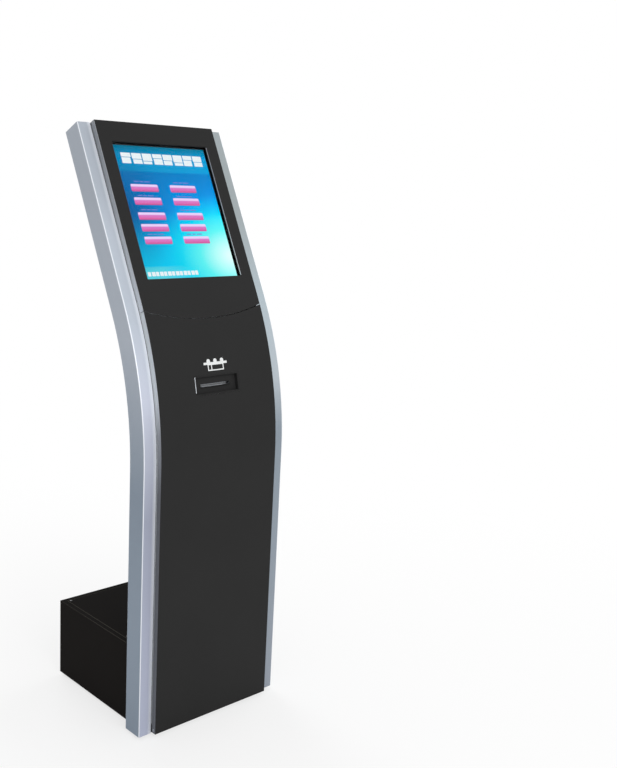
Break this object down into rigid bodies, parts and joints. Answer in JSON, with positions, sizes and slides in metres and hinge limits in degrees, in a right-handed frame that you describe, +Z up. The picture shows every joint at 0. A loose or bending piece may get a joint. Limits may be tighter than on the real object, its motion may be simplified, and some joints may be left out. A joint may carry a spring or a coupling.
{
  "type": "queue ticket kiosk",
  "caption": "Floor-standing ticket kiosk: bent silver side profiles, drop-down front door with ticket outlet and printer, tilted head with portrait touch screen, low base box.",
  "frame": {"origin": "middle of the footprint, on the floor", "axes": "+Z up, +Y to the back of the kiosk, +X to the right for a person who faces the screen"},
  "size_m": [0.414, 0.418, 1.4276],
  "materials": {
    "silver_profile": "satin",
    "black_panel": "fine satin",
    "silver_return": "satin",
    "dark_box": "fine satin",
    "zinc_steel": "satin",
    "black_plastic": "matte",
    "gloss_black": "gloss",
    "cover_glass": "clear",
    "display": "lit",
    "rubber": "matte",
    "bright_steel": "bright",
    "white_print": "matte",
    "paper": "matte",
    "card": "matte",
    "circuit_board": "gloss",
    "white_gear": "matte",
    "green_lever": "gloss",
    "blue_button": "gloss",
    "brass": "satin"
  },
  "bodies": {
    "cabinet": {"left_side_profile": "silver_profile", "right_side_profile": "silver_profile", "profile_caps": "black_plastic", "base_plate": "dark_box", "foot_pads": "rubber", "foot_studs": "zinc_steel", "column_rails": "zinc_steel", "head_rails": "zinc_steel", "screen_glass": "cover_glass", "screen_gasket": "black_plastic", "display_module": "display", "display_straps": "zinc_steel", "head_panel": "black_panel", "head_edge_frame": "silver_return", "rear_shell": "dark_box", "shell_screws": "bright_steel", "top_cap": "silver_return", "base_box": "dark_box", "base_box_lid": "dark_box", "lid_screws": "bright_steel", "power_inlet": "black_plastic", "switch_housing": "black_plastic", "network_socket": "black_plastic", "pc_case": "zinc_steel", "power_supply": "zinc_steel", "fan_frame": "black_plastic", "hinge_arms": "zinc_steel", "hinge_pins": "bright_steel", "lock_barrel": "bright_steel", "printer_bracket": "zinc_steel", "printer_chassis": "zinc_steel", "print_head": "black_plastic", "fixed_blade": "bright_steel", "stepper_motor": "zinc_steel", "roll_arms": "zinc_steel", "roll_spindle": "black_plastic", "paper_web": "paper", "printer_board": "circuit_board", "button_housing": "black_plastic", "speaker": "black_plastic"},
    "front_door": {"front_door": "black_panel", "outlet_bezel": "black_panel", "tear_bar": "bright_steel", "ticket_symbol": "white_print", "lock_strike": "zinc_steel"},
    "lock_cam": {"lock_cam": "zinc_steel"},
    "paper_roll": {"paper_roll": "paper", "roll_core": "card"},
    "platen": {"platen_roller": "rubber", "platen_gear": "white_gear"},
    "idler": {"idler_gear": "white_gear"},
    "pinion": {"motor_pinion": "brass"},
    "cutter": {"cutter_blade": "bright_steel"},
    "release_lever": {"release_lever": "green_lever"},
    "feed_button": {"feed_button": "blue_button"},
    "power_button": {"pc_power_button": "blue_button"},
    "rocker": {"switch_rocker": "gloss_black"},
    "fan": {"fan_rotor": "black_plastic"}
  },
  "joints": [
    {"name": "door_hinge", "type": "hinge", "parent": "cabinet", "child": "front_door", "pos_m": [0, -0.1995, 0.018], "axis": [1, 0, 0], "range_deg": [0, 88]},
    {"name": "lock_turn", "type": "hinge", "parent": "cabinet", "child": "lock_cam", "pos_m": [0.1615, -0.1785, 0.608], "axis": [-1, 0, 0], "range_deg": [0, 90]},
    {"name": "paper_roll_spin", "type": "hinge", "parent": "cabinet", "child": "paper_roll", "pos_m": [0, -0.1227, 0.75336], "axis": [-1, 0, 0], "continuous": true},
    {"name": "platen_spin", "type": "hinge", "parent": "cabinet", "child": "platen", "pos_m": [0, -0.15717, 0.83981], "axis": [-1, 0, 0], "continuous": true},
    {"name": "idler_spin", "type": "hinge", "parent": "cabinet", "child": "idler", "pos_m": [-0.05, -0.1613, 0.82188], "axis": [-1, 0, 0], "continuous": true},
    {"name": "pinion_spin", "type": "hinge", "parent": "cabinet", "child": "pinion", "pos_m": [-0.05, -0.16454, 0.80785], "axis": [-1, 0, 0], "continuous": true},
    {"name": "cutter_slide", "type": "slide", "parent": "cabinet", "child": "cutter", "axis": [0, -0.2246, -0.9745], "range_m": [0, 0.0045]},
    {"name": "lever_turn", "type": "hinge", "parent": "cabinet", "child": "release_lever", "pos_m": [0.0488, -0.149, 0.84409], "axis": [1, 0, 0], "range_deg": [0, 40]},
    {"name": "feed_button_press", "type": "slide", "parent": "cabinet", "child": "feed_button", "axis": [0, 0.9745, -0.2246], "range_m": [0, 0.0012], "stiffness_N_per_m": 400, "springref_m": -0.0005},
    {"name": "power_button_press", "type": "slide", "parent": "cabinet", "child": "power_button", "axis": [0, 0, -1], "range_m": [0, 0.0015], "stiffness_N_per_m": 500, "springref_m": -0.0005},
    {"name": "rocker_tip", "type": "hinge", "parent": "cabinet", "child": "rocker", "pos_m": [-0.1, 0.2055, 0.11], "axis": [1, 0, 0], "range_deg": [0, 14]},
    {"name": "fan_spin", "type": "hinge", "parent": "cabinet", "child": "fan", "pos_m": [0.085, 0.19, 0.11], "axis": [0, 1, 0], "continuous": true}
  ],
  "couplings": [
    {"joint": "platen_spin", "follows": "paper_roll_spin", "ratio": 6.3333},
    {"joint": "idler_spin", "follows": "paper_roll_spin", "ratio": -5.8056},
    {"joint": "pinion_spin", "follows": "paper_roll_spin", "ratio": 11.611}
  ]
}
